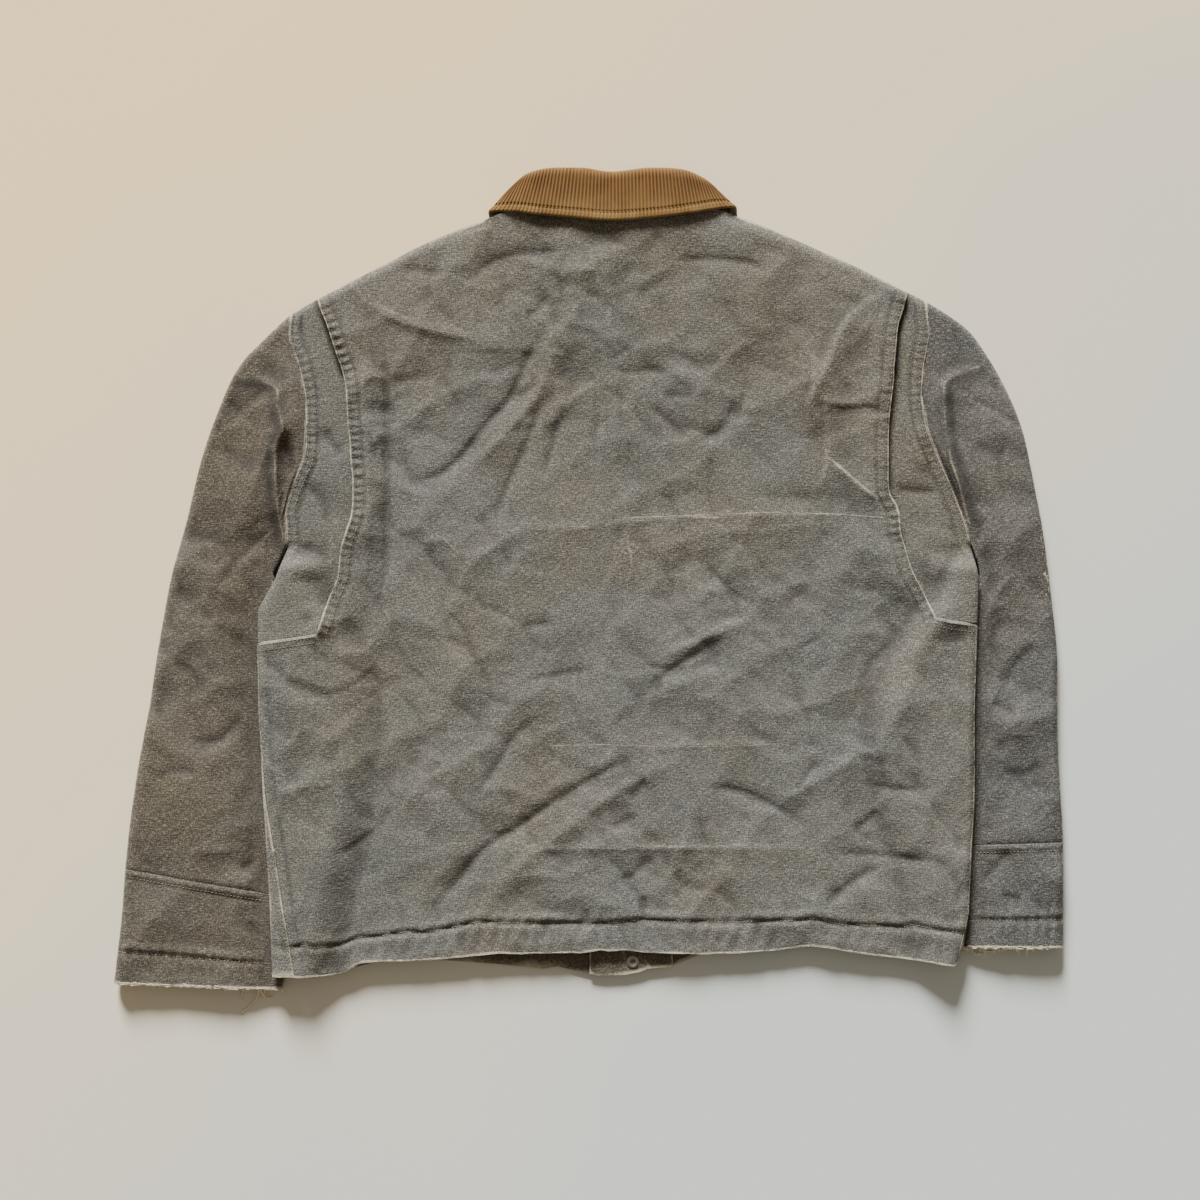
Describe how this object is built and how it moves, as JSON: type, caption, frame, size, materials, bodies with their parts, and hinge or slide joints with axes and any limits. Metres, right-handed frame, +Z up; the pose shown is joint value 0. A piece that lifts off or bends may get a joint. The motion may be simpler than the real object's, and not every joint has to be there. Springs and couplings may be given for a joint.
{
  "type": "barn jacket",
  "caption": "Waist-length work jacket laid out flat with its back up: pleated action back, long sleeves, corduroy fold-down collar, press-stud front and plain hems.",
  "frame": {"origin": "middle of the bounding box, at the height of the surface that the jacket lies on", "axes": "+X across the jacket from the wearer's left to the wearer's right, +Y from the hem towards the collar, +Z up, out of the back that lies uppermost"},
  "size_m": [0.8548, 0.7399, 0.0254],
  "materials": {
    "canvas": "worn cotton duck, matt",
    "corduroy": "cotton corduroy with worn wales",
    "aged_metal": "dulled plating"
  },
  "bodies": {
    "root": {"back_panel": "canvas", "front_left": "canvas", "front_right": "canvas", "placket": "canvas", "gusset_left": "canvas", "sleeve_left": "canvas", "sleeve_lower_left": "canvas", "gusset_right": "canvas", "sleeve_right": "canvas", "sleeve_lower_right": "canvas", "collar": "corduroy", "under_collar": "canvas", "stud_cap_1": "aged_metal", "stud_ring_1": "aged_metal", "stud_cap_2": "aged_metal", "stud_ring_2": "aged_metal", "stud_cap_3": "aged_metal", "stud_ring_3": "aged_metal", "stud_cap_4": "aged_metal", "stud_ring_4": "aged_metal", "stud_cap_5": "aged_metal", "stud_ring_5": "aged_metal", "stud_cap_6": "aged_metal", "stud_ring_6": "aged_metal"}
  },
  "joints": []
}
